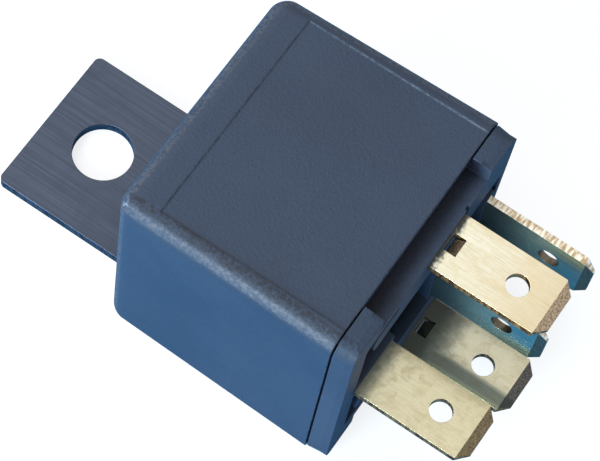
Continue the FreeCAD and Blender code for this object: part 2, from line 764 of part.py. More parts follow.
def make_armature():
    body = new_body("armature")
    half = "armatureWidth / 2"
    block(body, "XY_Plane", ("zMid - " + half, "zMid + " + half), ("leafBack", "0"),
          ("-poleGap", "armatureLength"))
    for along in ARMATURE_PINS:
        disc(body, "YZ_Plane", ("leafBack", "-poleGap"), (along, "zMid"), "pinRadius", cut=True)
    hinge(body)


def make_spring():
    """Leaf that carries the moving contact, bent round the hinge and riveted to the yoke."""
    body = new_body("contact_spring")
    half = "springWidth / 2"

    def turned_point(u, v):
        x = "xPole + (%s) * cos(openAngle) - (%s) * sin(openAngle)" % (u, v)
        y = "yokeAcross + (%s) * sin(openAngle) + (%s) * cos(openAngle)" % (u, v)
        return x, y

    plate(body, "XY_Plane", ("zMid - " + half, "zMid + " + half), [
        turned_point("leafFront", "springLength"),
        turned_point("leafFront", "springBend"),
        turned_point("leafFront + springBend", "-springThickness - springBow"),
        ("xPole + springBend", "yokeAcross - springThickness"),
        ("xPole + springLegLength", "yokeAcross - springThickness"),
        ("xPole + springLegLength", "yokeAcross"),
        ("xPole + springBend", "yokeAcross"),
        turned_point("leafBack", "-springBow"),
        turned_point("leafBack", "springLength"),
    ])
    x_from = "xPole + leafFront - contactArm * sin(openAngle) - springThickness"
    for along in ARMATURE_PINS + ("contactArm",):
        radius = "contactShankRadius + pinClearance" if along == "contactArm" else "pinRadius + pinClearance"
        y_hole = "yokeAcross + (leafFront + leafBack) / 2 * sin(openAngle) + (%s) * cos(openAngle)" % along
        disc(body, "YZ_Plane", (x_from, "xPole"), (y_hole, "zMid"), radius, cut=True)
    for along in ("yokePinFirst", "yokePinFirst + yokePinPitch"):
        disc(body, "XZ_Plane", ("yokeAcross - springThickness", "yokeAcross"), ("xPole + " + along, "zMid"),
             "pinRadius + pinClearance", cut=True)


def rivet(body, plane, shank, head, centre):
    """Pin through its plates with one round head."""
    disc(body, plane, shank, centre, "pinRadius")
    disc(body, plane, head, centre, "pinHeadRadius")


def rivet_set(label, pins):
    """Node of identical rivets: each is its own body, and the node holds them all."""
    solids = []
    for plane, shank, head, centre in pins:
        body = doc.addObject("PartDesign::Body", label + "_piece")
        rivet(body, plane, shank, head, centre)
        solids.append(body)
    if len(solids) == 1:
        solids[0].Label = label
        parts.append(solids[0])
        return solids[0]
    group = doc.addObject("Part::Compound", label)
    group.Label = label
    group.Links = solids
    doc.recompute()
    parts.append(group)
    return group


def make_rivets():
    yoke_pins = []
    for along in ("yokePinFirst", "yokePinFirst + yokePinPitch"):
        outer = "yokeAcross - springThickness"
        yoke_pins.append(("XZ_Plane", (outer, "yYokeInner"), ("%s - pinHeadHeight" % outer, outer),
                          ("xPole + " + along, "zMid")))
    rivet_set("yoke_rivets", yoke_pins)
    armature_pins = []
    for along in ARMATURE_PINS:
        armature_pins.append(("YZ_Plane", ("leafFront", "-poleGap"),
                              ("leafFront - pinHeadHeight", "leafFront"), (along, "zMid")))
    hinge(rivet_set("armature_rivets", armature_pins))
    rivet_set("terminal_rivet", [("YZ_Plane", ("xYokeInner", "footOuter"),
                                  ("footOuter", "footOuter + pinHeadHeight"),
                                  ("feedAcross", "zMid + footPinAlong"))])


def make_contacts():
    """Silver rivets: one on each fixed ledge and a double-headed one on the leaf."""
    turned("fixed_contact_no", [
        ("xOpenFace", "0"),
        ("xOpenFace + contactDome", "contactRadius"),
        ("xOpenLedge", "contactRadius"),
        ("xOpenLedge", "contactShankRadius"),
        ("xOpenLedge + bladeThickness", "contactShankRadius"),
        ("xOpenLedge + bladeThickness", "0"),
    ], "yContact")
    turned("fixed_contact_nc", [
        ("xClosedFace", "0"),
        ("xClosedFace - contactDome", "contactRadius"),
        ("xClosedLedge", "contactRadius"),
        ("xClosedLedge", "contactShankRadius"),
        ("xClosedLedge - bladeThickness", "contactShankRadius"),
        ("xClosedLedge - bladeThickness", "0"),
    ], "yContact")
    moving = turned("moving_contact", [
        ("leafFront - movingHeadClosed", "0"),
        ("leafFront - movingHeadClosed + contactDome", "contactRadius"),
        ("leafFront", "contactRadius"),
        ("leafFront", "contactShankRadius"),
        ("leafBack", "contactShankRadius"),
        ("leafBack", "contactRadius"),
        ("closedFace - contactDome", "contactRadius"),
        ("closedFace", "0"),
    ], "contactArm")
    hinge(moving)


def check_and_write():
    """Stop on any failed object or shape, then write each sub-part as its own STEP file."""
    doc.recompute()
    for item in doc.Objects:
        if "Invalid" in item.State or "Error" in item.State:
            raise RuntimeError("%s has failed: %s" % (item.Name, item.State))
    for part in parts:
        if part.Shape.isNull() or not part.Shape.isValid() or part.Shape.Volume <= 0:
            raise RuntimeError("%s has no valid shape" % part.Label)
    os.makedirs("parts", exist_ok=True)
    for part in parts:
        part.Shape.exportStep("parts/%s.step" % part.Label)
        print(part.Label, len(part.Shape.Solids), round(part.Shape.Volume, 3))


make_cover()
make_base()
make_bracket()
make_feed_terminal()
make_coil_terminal("terminal_86")
make_coil_terminal("terminal_85")
make_open_terminal()
make_closed_terminal()
make_yoke()
make_core()
make_bobbin()
make_winding()
make_lead("coil_lead_start", "+")
make_lead("coil_lead_finish", "-")
make_armature()
make_spring()
make_rivets()
make_contacts()
check_and_write()
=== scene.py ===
import json
import math
import bpy
import numpy as np
from mathutils import Matrix, Vector


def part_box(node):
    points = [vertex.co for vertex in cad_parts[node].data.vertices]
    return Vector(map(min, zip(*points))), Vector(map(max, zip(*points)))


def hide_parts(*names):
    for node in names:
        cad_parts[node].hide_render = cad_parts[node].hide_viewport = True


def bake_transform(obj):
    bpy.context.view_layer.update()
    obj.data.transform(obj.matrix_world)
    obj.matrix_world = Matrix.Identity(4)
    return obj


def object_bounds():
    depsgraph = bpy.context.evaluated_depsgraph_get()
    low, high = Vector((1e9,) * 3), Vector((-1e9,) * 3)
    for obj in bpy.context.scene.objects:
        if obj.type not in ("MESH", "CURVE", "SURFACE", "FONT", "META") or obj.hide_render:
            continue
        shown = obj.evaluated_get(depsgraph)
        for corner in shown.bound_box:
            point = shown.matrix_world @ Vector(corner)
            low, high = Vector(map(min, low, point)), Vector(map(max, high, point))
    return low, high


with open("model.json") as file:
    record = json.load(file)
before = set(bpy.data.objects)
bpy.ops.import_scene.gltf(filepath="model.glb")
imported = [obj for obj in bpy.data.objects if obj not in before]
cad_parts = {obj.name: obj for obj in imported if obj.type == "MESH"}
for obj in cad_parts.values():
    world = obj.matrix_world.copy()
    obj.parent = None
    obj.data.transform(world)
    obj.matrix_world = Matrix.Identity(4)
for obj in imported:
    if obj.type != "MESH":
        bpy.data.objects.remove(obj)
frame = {"nodes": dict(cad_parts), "record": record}
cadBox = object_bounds()
print("frame loaded,", len(frame["nodes"]), "nodes")


def addNode(tree, kind, **values):
    # one shader node, with its settings given by name
    node = tree.nodes.new(kind)
    for name, value in values.items():
        setattr(node, name, value)
    return node


def join(tree, fromSocket, toSocket):
    # a wire from one socket to another
    tree.links.new(fromSocket, toSocket)


def setInput(tree, socket, value):
    # a number or a tuple is written on the socket, and a socket is linked to it
    if value is None:
        return
    if isinstance(value, (int, float)):
        socket.default_value = value
    elif isinstance(value, tuple):
        socket.default_value = (*value, 1) if socket.type == "RGBA" else value
    else:
        join(tree, value, socket)


def mathNode(tree, operation, first, second=None, third=None, clamp=False):
    # first, second and third joined by the operation; MULTIPLY_ADD is first x second + third
    node = addNode(tree, "ShaderNodeMath", operation=operation, use_clamp=clamp)
    for socket, value in zip(node.inputs, (first, second, third)):
        setInput(tree, socket, value)
    return node.outputs[0]


def vectorNode(tree, operation, first, second=None, out="Vector"):
    # the operation on two vectors, or on a vector and a number where it is SCALE
    node = addNode(tree, "ShaderNodeVectorMath", operation=operation)
    setInput(tree, node.inputs["Scale"] if operation == "SCALE" else node.inputs[1], second)
    setInput(tree, node.inputs[0], first)
    return node.outputs[out]


def remap(tree, value, start, end):
    # smooth step: 0 at start, 1 at end, an S curve between them, and start may be the larger of the two
    node = addNode(tree, "ShaderNodeMapRange", interpolation_type="SMOOTHSTEP")
    for name, setting in (("Value", value), ("From Min", start), ("From Max", end)):
        setInput(tree, node.inputs[name], setting)
    return node.outputs["Result"]


def blendColour(tree, share, first, second):
    # (1 - share) x first + share x second
    node = addNode(tree, "ShaderNodeMix", data_type="RGBA")
    for socket, value in zip((node.inputs[0], node.inputs[6], node.inputs[7]), (share, first, second)):
        setInput(tree, socket, value)
    return node.outputs[2]


def objectPlace(tree):
    # the place on the piece, in metres from the frame's origin
    return addNode(tree, "ShaderNodeTexCoord").outputs["Object"]


def splitVector(tree, value):
    # the X, Y and Z of a vector
    split = addNode(tree, "ShaderNodeSeparateXYZ")
    join(tree, value, split.inputs["Vector"])
    return split.outputs


def noiseNode(tree, place, scale, detail=2.0, roughness=0.5, distortion=0.0):
    # soft random value about one half, which changes once in about 1 / scale
    node = addNode(tree, "ShaderNodeTexNoise")
    for name, value in (("Vector", place), ("Scale", scale), ("Detail", detail),
                        ("Roughness", roughness), ("Distortion", distortion)):
        setInput(tree, node.inputs[name], value)
    return node.outputs["Fac"]


def stretchedNoise(tree, place, along, across, detail, roughness=0.5):
    # X is multiplied by along, Y and Z by across, so the noise read there is long in X
    stretch = addNode(tree, "ShaderNodeCombineXYZ")
    for axis, value in (("X", along), ("Y", across), ("Z", across)):
        setInput(tree, stretch.inputs[axis], value)
    stretched = vectorNode(tree, "MULTIPLY", place, stretch.outputs["Vector"])
    return noiseNode(tree, stretched, 1.0, detail, roughness)


number, vector = "NodeSocketFloat", "NodeSocketVector"


def newGroup(name, inputs, outputs):
    # a shared effect: inputs are (name, kind, default), outputs are (name, kind)
    tree = bpy.data.node_groups.new(name, "ShaderNodeTree")
    for label, kind, default in inputs:
        socket = tree.interface.new_socket(name=label, in_out="INPUT", socket_type=kind)
        socket.default_value = default
    for label, kind in outputs:
        tree.interface.new_socket(name=label, in_out="OUTPUT", socket_type=kind)
    return tree, addNode(tree, "NodeGroupInput").outputs, addNode(tree, "NodeGroupOutput").inputs


def useGroup(tree, group, **values):
    # a shared effect in a material, with its inputs given by name
    node = addNode(tree, "ShaderNodeGroup", node_tree=group)
    for name, value in values.items():
        setInput(tree, node.inputs[name], value)
    return node.outputs


mouldPattern = {
    "pitScale": 0.55, "pitShare": 0.7,        # pits, as a share of the grain's own scale and height
    "fineDetail": 3.0, "fineRoughness": 0.6,
    "patchScale": 70.0, "patchDetail": 4.0,
    "speckScale": 0.8, "speckDetail": 1.0, "speckShare": 0.6,
    "toneFrom": 0.3, "toneTo": 0.7,
}


def makeMouldGrain(pattern):
    # spark-eroded mould texture: height = fine noise + pitShare x distance to the nearest pit,
    # and tone = slow patches + speckShare x (specks - one half)
    tree, given, out = newGroup("mouldGrain", [("Scale", number, 3000.0)],
                                [("Height", number), ("Tone", number)])
    place = objectPlace(tree)
    pits = addNode(tree, "ShaderNodeTexVoronoi", feature="SMOOTH_F1")
    join(tree, place, pits.inputs["Vector"])
    join(tree, mathNode(tree, "MULTIPLY", given["Scale"], pattern["pitScale"]), pits.inputs["Scale"])
    fine = noiseNode(tree, place, given["Scale"], pattern["fineDetail"], pattern["fineRoughness"])
    height = mathNode(tree, "MULTIPLY_ADD", pits.outputs["Distance"], pattern["pitShare"], fine)
    join(tree, height, out["Height"])
    patches = noiseNode(tree, place, pattern["patchScale"], pattern["patchDetail"])
    speckScale = mathNode(tree, "MULTIPLY", given["Scale"], pattern["speckScale"])
    specks = mathNode(tree, "SUBTRACT", noiseNode(tree, place, speckScale, pattern["speckDetail"]), 0.5)
    tone = mathNode(tree, "MULTIPLY_ADD", specks, pattern["speckShare"], patches)
    join(tree, remap(tree, tone, pattern["toneFrom"], pattern["toneTo"]), out["Tone"])
    return tree


rolledPattern = {
    "streakDetail": 4.0, "streakRoughness": 0.65, "toneFrom": 0.35, "toneTo": 0.65,
    "lineAlong": 420.0, "lineAcross": 7500.0, "lineDetail": 1.0, "lineFrom": 0.56, "lineTo": 0.64,
    "patchScale": 300.0, "patchFrom": 0.46, "patchTo": 0.6,
}


def makeRolledGrain(pattern):
    # rolling marks: a noise that is long along X and fine across it, and short dark draw lines
    # where a sharper noise passes its threshold inside soft patches
    tree, given, out = newGroup("rolledGrain", [("Along", number, 60.0), ("Across", number, 2500.0)],
                                [("Height", number), ("Tone", number), ("Lines", number)])
    place = objectPlace(tree)
    streaks = stretchedNoise(tree, place, given["Along"], given["Across"],
                             pattern["streakDetail"], pattern["streakRoughness"])
    join(tree, streaks, out["Height"])
    join(tree, remap(tree, streaks, pattern["toneFrom"], pattern["toneTo"]), out["Tone"])
    sharp = stretchedNoise(tree, place, pattern["lineAlong"], pattern["lineAcross"], pattern["lineDetail"])
    lines = remap(tree, sharp, pattern["lineFrom"], pattern["lineTo"])
    soft = noiseNode(tree, place, pattern["patchScale"])
    patches = remap(tree, soft, pattern["patchFrom"], pattern["patchTo"])
    join(tree, mathNode(tree, "MULTIPLY", lines, patches), out["Lines"])
    return tree


shearedPattern = {
    "cutFrom": 0.55, "cutTo": 0.35, "coinedFrom": 0.997, "coinedTo": 0.985,
    "acrossScale": 700.0, "scoreFrom": 0.38, "scoreTo": 0.62,
}


def makeShearedFace(pattern):
    # a strip's rolled faces point along Face Axis, Fold Axis or between them, and facing = the length of
    # the normal's part in the plane of the two. Cut edges are where facing is small, and they are scored
    # across the thickness. Coined faces are where facing is just under 1.
    tree, given, out = newGroup(
        "shearedFace",
        [("Face Axis", vector, (0, 0, 1)), ("Fold Axis", vector, (0, 0, 0)), ("Pitch", number, 3800.0)],
        [("Mask", number), ("Score", number), ("Height", number), ("Coined", number)])
    coords = addNode(tree, "ShaderNodeTexCoord")
    place, normal = coords.outputs["Object"], coords.outputs["Normal"]
    onFace, onFold = (vectorNode(tree, "DOT_PRODUCT", normal, given[name], "Value")
                      for name in ("Face Axis", "Fold Axis"))
    squares = mathNode(tree, "MULTIPLY_ADD", onFold, onFold, mathNode(tree, "MULTIPLY", onFace, onFace))
    facing = mathNode(tree, "SQRT", squares)
    mask = remap(tree, facing, pattern["cutFrom"], pattern["cutTo"])
    join(tree, mask, out["Mask"])
    tilted = remap(tree, facing, pattern["coinedFrom"], pattern["coinedTo"])
    join(tree, mathNode(tree, "SUBTRACT", tilted, mask, clamp=True), out["Coined"])
    through = vectorNode(tree, "DOT_PRODUCT", place, given["Face Axis"], "Value")
    thick = vectorNode(tree, "SCALE", given["Face Axis"], through)
    fine = vectorNode(tree, "SCALE", vectorNode(tree, "SUBTRACT", place, thick), given["Pitch"])
    coarse = vectorNode(tree, "SCALE", thick, pattern["acrossScale"])
    scored = noiseNode(tree, vectorNode(tree, "ADD", fine, coarse), 1.0)
    score = remap(tree, scored, pattern["scoreFrom"], pattern["scoreTo"])
    join(tree, score, out["Score"])
    join(tree, mathNode(tree, "MULTIPLY", mask, score), out["Height"])
    return tree


wearPattern = {
    "samples": 6, "turnFrom": 0.98, "turnTo": 0.75, "breakScale": 1500.0, "breakFrom": 0.35, "breakTo": 0.6,
}


def makeEdgeWear(pattern):
    # rounded edges for the light, and a mask = how far the rounding turns the normal x a noise x Amount
    tree, given, out = newGroup("edgeWear", [("Radius", number, 0.00015), ("Amount", number, 0.5)],
                                [("Mask", number), ("Normal", vector)])
    rounded = addNode(tree, "ShaderNodeBevel", samples=pattern["samples"])
    join(tree, given["Radius"], rounded.inputs["Radius"])
    flat = addNode(tree, "ShaderNodeNewGeometry")
    turn = vectorNode(tree, "DOT_PRODUCT", rounded.outputs["Normal"], flat.outputs["Normal"], "Value")
    edge = remap(tree, turn, pattern["turnFrom"], pattern["turnTo"])
    gaps = noiseNode(tree, objectPlace(tree), pattern["breakScale"])
    broken = mathNode(tree, "MULTIPLY", edge, remap(tree, gaps, pattern["breakFrom"], pattern["breakTo"]))
    join(tree, mathNode(tree, "MULTIPLY", broken, given["Amount"], clamp=True), out["Mask"])
    join(tree, rounded.outputs["Normal"], out["Normal"])
    return tree


roundingPattern = {
    "speckDetail": 3.0, "speckRoughness": 0.65,
    "leanFrom": -0.04, "leanTo": -0.2, "rimFrom": 0.72, "rimTo": 0.85, "darkFrom": 0.74, "darkTo": 0.34,
    "turnFrom": 0.95, "turnTo": 0.86, "lightFrom": 0.34, "lightTo": 0.68,
    "cornerFrom": 0.74, "cornerTo": 0.62, "glintFrom": 0.35, "glintTo": 0.62,
}


def makeRounding(pattern):
    # mottle on rounded corners, as painted highlight and painted shade broken by grain specks: the largest
    # part of the normal along X, Y or Z is 1 on flat faces and falls as the surface turns. Dark = painted
    # shade where the top starts to turn towards -Y,
    # Light = painted highlight where a rounding has turned further, Corner = a painted glint where three
    # roundings meet, and each is broken by a speck noise.
    tree, given, out = newGroup("rounding", [("Scale", number, 4500.0)],
                                [("Light", number), ("Dark", number), ("Corner", number)])
    coords = addNode(tree, "ShaderNodeTexCoord")
    signed = splitVector(tree, coords.outputs["Normal"])
    parts = splitVector(tree, vectorNode(tree, "ABSOLUTE", coords.outputs["Normal"]))
    largest = mathNode(tree, "MAXIMUM", parts["X"], mathNode(tree, "MAXIMUM", parts["Y"], parts["Z"]))
    specks = noiseNode(tree, coords.outputs["Object"], given["Scale"],
                       pattern["speckDetail"], pattern["speckRoughness"])
    leaning = remap(tree, signed["Y"], pattern["leanFrom"], pattern["leanTo"])
    rim = mathNode(tree, "MULTIPLY", leaning, remap(tree, parts["Z"], pattern["rimFrom"], pattern["rimTo"]))
    rounded = remap(tree, largest, pattern["turnFrom"], pattern["turnTo"])
    turned = mathNode(tree, "SUBTRACT", rounded, rim, clamp=True)
    corner = remap(tree, largest, pattern["cornerFrom"], pattern["cornerTo"])
    for name, share, start, end in (("Light", turned, "lightFrom", "lightTo"),
                                    ("Dark", rim, "darkFrom", "darkTo"),
                                    ("Corner", corner, "glintFrom", "glintTo")):
        broken = remap(tree, specks, pattern[start], pattern[end])
        join(tree, mathNode(tree, "MULTIPLY", share, broken), out[name])
    return tree


handlingPattern = {"detail": 5.0, "roughness": 0.5, "swirl": 0.8, "smearFrom": 0.42, "smearTo": 0.72}


def makeHandling(pattern):
    # faint smears left by handling: a swirled noise past its threshold x Amount
    tree, given, out = newGroup("handling", [("Scale", number, 220.0), ("Amount", number, 0.5)],
                                [("Smear", number)])
    swirled = noiseNode(tree, objectPlace(tree), given["Scale"],
                        pattern["detail"], pattern["roughness"], pattern["swirl"])
    smear = remap(tree, swirled, pattern["smearFrom"], pattern["smearTo"])
    join(tree, mathNode(tree, "MULTIPLY", smear, given["Amount"]), out["Smear"])
    return tree


fadePattern = {"scale": 1300.0, "detail": 4.0, "roughness": 0.6, "sideFade": 0.0003}


def makeFadeAlongX(pattern):
    # a mask for painted shade and tints that fades along X: 1 before Start, 0 after End, with X pushed about
    # by a noise of Ragged metres, and only within Side Reach of the plane y = 0 and Reach of the height
    # Middle
    tree, given, out = newGroup(
        "fadeAlongX",
        [("Start", number, 0.0141), ("End", number, 0.015), ("Ragged", number, 0.0006),
         ("Middle", number, 0.0135), ("Reach", number, 1.0), ("Side Reach", number, 1.0)],
        [("Mask", number)])
    place = objectPlace(tree)
    parts = splitVector(tree, place)
    noise = noiseNode(tree, place, pattern["scale"], pattern["detail"], pattern["roughness"])
    wander = mathNode(tree, "SUBTRACT", noise, 0.5)
    pushed = mathNode(tree, "MULTIPLY_ADD", wander, given["Ragged"], parts["X"])
    above = mathNode(tree, "ABSOLUTE", mathNode(tree, "SUBTRACT", parts["Z"], given["Middle"]))
    aside = remap(tree, mathNode(tree, "ABSOLUTE", parts["Y"]),
                  mathNode(tree, "ADD", given["Side Reach"], pattern["sideFade"]),
                  mathNode(tree, "SUBTRACT", given["Side Reach"], pattern["sideFade"]))
    within = mathNode(tree, "MULTIPLY", mathNode(tree, "LESS_THAN", above, given["Reach"]), aside)
    faded = remap(tree, pushed, given["End"], given["Start"])
    join(tree, mathNode(tree, "MULTIPLY", faded, within), out["Mask"])
    return tree


mouldGrain = makeMouldGrain(mouldPattern)
rolledGrain = makeRolledGrain(rolledPattern)
shearedFace = makeShearedFace(shearedPattern)
edgeWear = makeEdgeWear(wearPattern)
rounding = makeRounding(roundingPattern)
handling = makeHandling(handlingPattern)
fadeAlongX = makeFadeAlongX(fadePattern)
print("shared effects made")


def newMaterial(name):
    # a material with its own node tree and its Principled shader
    material = bpy.data.materials.new(name)
    material.use_nodes = True
    tree = material.node_tree
    return material, tree, tree.nodes["Principled BSDF"]


def addBump(tree, shader, height, distance, strength, normal=None):
    # the normal leans by the slope of height x distance, x strength
    bump = addNode(tree, "ShaderNodeBump")
    for name, value in (("Distance", distance), ("Strength", strength),
                        ("Height", height), ("Normal", normal)):
        setInput(tree, bump.inputs[name], value)
    join(tree, bump.outputs["Normal"], shader.inputs["Normal"])


def makePlastic(name, look):
    # moulded plastic: colour = tone between dark and light, then painted highlights and painted shade on the
    # roundings, worn edges, smears and painted shade in the hollows, and roughness = a base + a share of the
    # tone - the polish of worn edges
    material, tree, shader = newMaterial(name)
    shader.inputs["Specular IOR Level"].default_value = look["specular"]
    grain = useGroup(tree, mouldGrain, Scale=look["grainScale"])
    wear = useGroup(tree, edgeWear, Radius=look["edgeRadius"], Amount=look["edgeWear"])
    smear = useGroup(tree, handling, Scale=look["smearScale"], Amount=look["smear"])["Smear"]
    # painted shade in the base's hollow and recesses by the cover, where light doesn't reach
    hollowShade = useGroup(tree, fadeAlongX, **{
        "Start": look["hollowShadeFrom"], "End": look["hollowShadeTo"], "Ragged": look["hollowShadeRagged"],
        "Reach": look["hollowShadeReach"], "Side Reach": look["hollowShadeSideReach"]})["Mask"]
    mottle = useGroup(tree, rounding, Scale=look["mottleScale"])
    colour = blendColour(tree, grain["Tone"], look["dark"], look["light"])
    # painted highlight, painted shade and painted glint on the roundings, broken by grain specks
    for mask, spot in (("Light", "paintedRimHighlight"), ("Dark", "paintedRimShade"), ("Corner", "glint")):
        share = mathNode(tree, "MULTIPLY", mottle[mask], look["mottle"])
        colour = blendColour(tree, share, colour, look[spot])
    for share, over in ((wear["Mask"], "worn"), (smear, "smearColour"), (hollowShade, "hollowShadeColour")):
        colour = blendColour(tree, share, colour, look[over])
    join(tree, colour, shader.inputs["Base Color"])
    rough = mathNode(tree, "MULTIPLY_ADD", grain["Tone"], look["roughSpread"], look["roughness"])
    rough = mathNode(tree, "MULTIPLY_ADD", wear["Mask"], -look["wornPolish"], rough)
    join(tree, rough, shader.inputs["Roughness"])
    addBump(tree, shader, grain["Height"], look["grainDepth"], look["grainStrength"], wear["Normal"])
    return material


fullLength = {"Start": 1.0, "End": 1.1}        # past the object, so that the mask doesn't fade along X


def makeStripColour(tree, look, rolled, cut, wear, smear, rootShade):
    # rolled face with its tip tint, tarnish and draw lines, then coined faces, cut edges, painted bore
    # shade, worn edges, painted root shade
    face = blendColour(tree, rolled["Tone"], look["dark"], look["light"])
    towardsRoot = useGroup(tree, fadeAlongX, Start=look["tipFrom"], End=look["tipTo"],
                           Ragged=look["tipRagged"])["Mask"]
    tipShare = mathNode(tree, "MULTIPLY_ADD", towardsRoot, -look["tipShare"], look["tipShare"])
    tinted = blendColour(tree, tipShare, face, look["tip"])
    stained = blendColour(tree, smear, tinted, look["tarnish"])
    lines = mathNode(tree, "MULTIPLY", rolled["Lines"], look["lines"])
    lined = blendColour(tree, lines, stained, look["lineColour"])
    speckle = noiseNode(tree, objectPlace(tree), look["coinedScale"],
                        look["coinedDetail"], look["coinedBreak"])
    specks = remap(tree, speckle, look["coinedFrom"], look["coinedTo"])
    dulled = blendColour(tree, specks, look["coinedDark"], look["coinedLight"])
    coined = blendColour(tree, cut["Coined"], lined, dulled)
    torn = blendColour(tree, cut["Score"], look["cutDark"], look["cutLight"])
    # painted shade on the walls of the bores
    inBore = useGroup(tree, fadeAlongX, **fullLength, Ragged=0.0, Middle=look["boreMiddle"],
                      Reach=look["boreReach"])["Mask"]
    shaded = blendColour(tree, mathNode(tree, "MULTIPLY", inBore, look["holeShade"]), torn, look["holeShadeColour"])
    whole = blendColour(tree, cut["Mask"], coined, shaded)
    worn = blendColour(tree, wear["Mask"], whole, look["worn"])
    return blendColour(tree, rootShade, worn, look["rootShadeColour"])


def makeStrip(name, look):
    # stamped strip: roughness = a base + a share of each mark, metallic = 1 - what the painted root shade
    # covers, where there is any, and height = the scores of the cut edges + a share of the rolling marks
    material, tree, shader = newMaterial(name)
    rolled = useGroup(tree, rolledGrain, Along=look["along"], Across=look["across"])
    cut = useGroup(tree, shearedFace, **{
        "Face Axis": look["faceAxis"], "Fold Axis": look["foldAxis"], "Pitch": look["scorePitch"]})
    wear = useGroup(tree, edgeWear, Radius=look["edgeRadius"], Amount=look["edgeWear"])
    smear = useGroup(tree, handling, Scale=look["smearScale"], Amount=look["smear"])["Smear"]
    # painted shade at the blade's root, where the base shades it; the shaded part is also made rougher and
    # less metallic
    root = useGroup(tree, fadeAlongX, Start=look["rootShadeFrom"], End=look["rootShadeTo"],
                    Ragged=look["rootShadeRagged"])["Mask"]
    # a painted shadow band along the plane y = 0
    shadowBand = useGroup(tree, fadeAlongX, **fullLength, **{"Side Reach": look["shadowBandReach"]})["Mask"]
    rootOrBandShade = mathNode(tree, "MAXIMUM", root, mathNode(tree, "MULTIPLY", shadowBand, look["shadowBand"]))
    unshadedShare = look["unshadedCut"] * look["rootShade"]
    rootShadeShare = mathNode(tree, "MULTIPLY_ADD", cut["Mask"], -unshadedShare, look["rootShade"])
    rootShade = mathNode(tree, "MULTIPLY", rootOrBandShade, rootShadeShare)
    join(tree, makeStripColour(tree, look, rolled, cut, wear, smear, rootShade), shader.inputs["Base Color"])
    rough = mathNode(tree, "MULTIPLY_ADD", smear, look["smearRough"], look["roughness"])
    for share, amount in ((rolled["Tone"], look["roughSpread"]), (cut["Mask"], look["cutRough"]),
                          (cut["Coined"], look["coinedRough"]), (rootShade, look["rootShadeRough"])):
        rough = mathNode(tree, "MULTIPLY_ADD", share, amount, rough)
    join(tree, rough, shader.inputs["Roughness"])
    metallic = mathNode(tree, "MULTIPLY_ADD", rootShade, -look["rootShadeCover"], 1.0) if look["rootShade"] else 1.0
    setInput(tree, shader.inputs["Metallic"], metallic)
    height = mathNode(tree, "MULTIPLY_ADD", rolled["Height"], look["rolledShare"], cut["Height"])
    addBump(tree, shader, height, look["depth"], look["strength"], wear["Normal"])
    return material


housingLook = {
    "dark": (0.022, 0.035, 0.062), "light": (0.029, 0.044, 0.075), "worn": (0.13, 0.145, 0.17),
    "mottle": 0.95, "mottleScale": 2700.0,
    # painted highlight, painted shade and painted glint colours for the roundings
    "paintedRimHighlight": (0.1, 0.098, 0.11), "paintedRimShade": (0.004, 0.006, 0.012), "glint": (0.26, 0.27, 0.3),
    "smearColour": (0.045, 0.058, 0.085), "smear": 0.15, "smearScale": 180.0,
    "grainScale": 6200.0, "grainDepth": 0.00008, "grainStrength": 0.5,
    "roughness": 0.5, "roughSpread": 0.08, "wornPolish": 0.12, "specular": 0.42,
    "edgeRadius": 0.0003, "edgeWear": 0.7,
    "hollowShadeFrom": -0.02, "hollowShadeTo": -0.019, "hollowShadeRagged": 0.0,        # ends before the cover, so it has none
    "hollowShadeReach": 1.0, "hollowShadeSideReach": 1.0,
    "hollowShadeColour": (0.02, 0.03, 0.05),
}
baseLook = {
    **housingLook,
    "dark": (0.035, 0.049, 0.077), "light": (0.046, 0.063, 0.095), "roughness": 0.56, "grainStrength": 0.45,
    "mottle": 0.8,
    # painted highlight, painted shade and painted glint colours for the roundings
    "paintedRimHighlight": (0.036, 0.042, 0.054), "paintedRimShade": (0.014, 0.018, 0.028), "glint": (0.12, 0.125, 0.14),
    "specular": 0.25, "edgeRadius": 0.00014, "smear": 0.1, "edgeWear": 0.5,
    "hollowShadeFrom": 0.0122, "hollowShadeTo": 0.0141, "hollowShadeRagged": 0.0008,        # painted shade in the hollow and the recesses
    "hollowShadeReach": 0.0133, "hollowShadeSideReach": 0.0093,
    "hollowShadeColour": (0.008, 0.01, 0.019),
}
bobbinLook = {
    **housingLook,
    "dark": (0.62, 0.6, 0.52), "light": (0.72, 0.7, 0.62), "worn": (0.78, 0.76, 0.7),
    "mottle": 0.2,
    # painted highlight, painted shade and painted glint colours for the roundings
    "paintedRimHighlight": (0.75, 0.73, 0.66), "paintedRimShade": (0.56, 0.54, 0.46), "glint": (0.8, 0.78, 0.72),
    "smearColour": (0.5, 0.47, 0.38), "smear": 0.3, "smearScale": 240.0,
    "grainScale": 2200.0, "grainDepth": 0.00003, "grainStrength": 0.15,
    "roughness": 0.32, "roughSpread": 0.05, "specular": 0.5, "edgeRadius": 0.0001, "edgeWear": 0.4,
}
plainStrip = {        # no fold, tip tint, painted bore shade, painted root shade or painted shadow band
    "foldAxis": (0, 0, 0),
    "tip": (0.0, 0.0, 0.0), "tipShare": 0.0, "tipFrom": 0.0, "tipTo": 0.001, "tipRagged": 0.0,
    "holeShade": 0.0, "holeShadeColour": (0.0, 0.0, 0.0), "boreMiddle": 0.0135, "boreReach": 0.002,
    "rootShadeFrom": 0.0141, "rootShadeTo": 0.0157, "rootShadeRagged": 0.0,
    "rootShade": 0.0, "rootShadeColour": (0.0, 0.0, 0.0),
    "rootShadeRough": 0.0, "rootShadeCover": 0.0, "unshadedCut": 0.0, "shadowBand": 0.0, "shadowBandReach": 0.0,
    "coinedDetail": 3.0, "coinedBreak": 0.7, "coinedFrom": 0.36, "coinedTo": 0.64,
}
